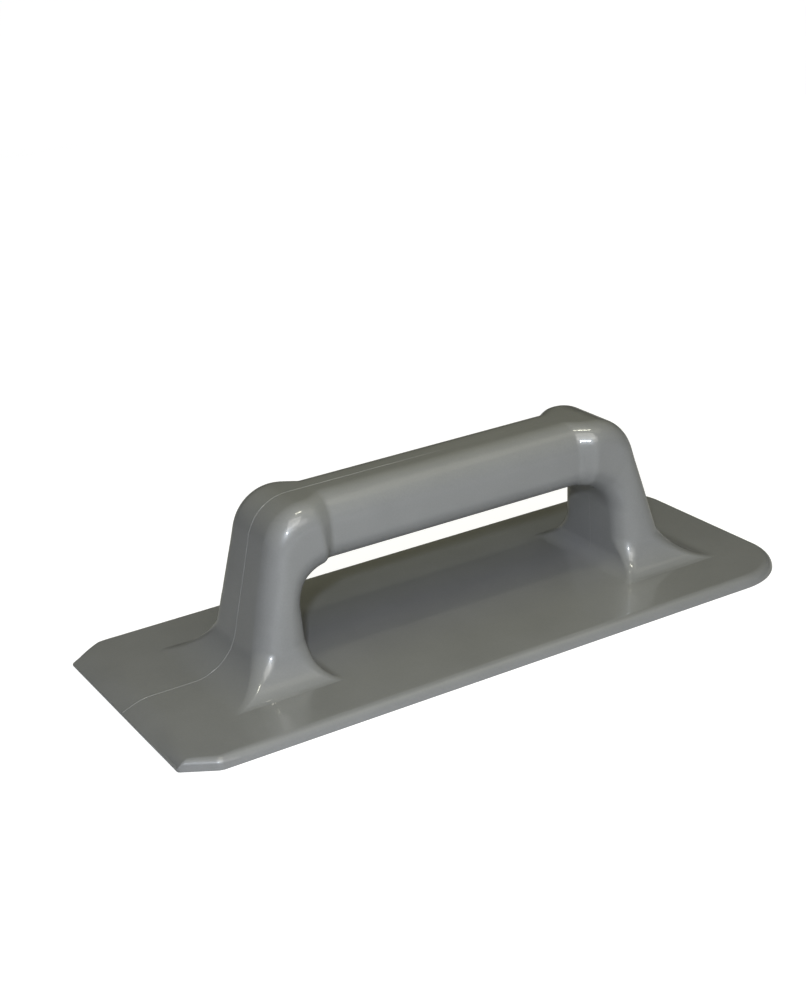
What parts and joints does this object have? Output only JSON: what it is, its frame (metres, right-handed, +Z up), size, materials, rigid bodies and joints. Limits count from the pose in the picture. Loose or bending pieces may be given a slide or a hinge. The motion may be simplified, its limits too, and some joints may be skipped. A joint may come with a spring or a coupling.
{
  "type": "hand float",
  "caption": "Grey moulded plastic hand float: a flat rectangular base with a thin ramped nose edge and rounded rear corners, and a hollow arched handle whose feet spread into the deck.",
  "frame": {"origin": "under the middle of the base, on the working face", "axes": "+X along the length from the nose to the rear, +Y across to the left half shell, +Z up through the handle"},
  "size_m": [0.28, 0.1208, 0.0706],
  "materials": {
    "shell_plastic": "smooth, semi-gloss, mid grey",
    "sole_plastic": "smooth, slightly worn, mid grey",
    "weld_plastic": "remelted bead, paler grey"
  },
  "bodies": {
    "root": {"left_half_shell": "shell_plastic", "right_half_shell": "shell_plastic", "sole_plate": "sole_plastic", "outer_weld": "weld_plastic", "window_weld": "weld_plastic"}
  },
  "joints": []
}
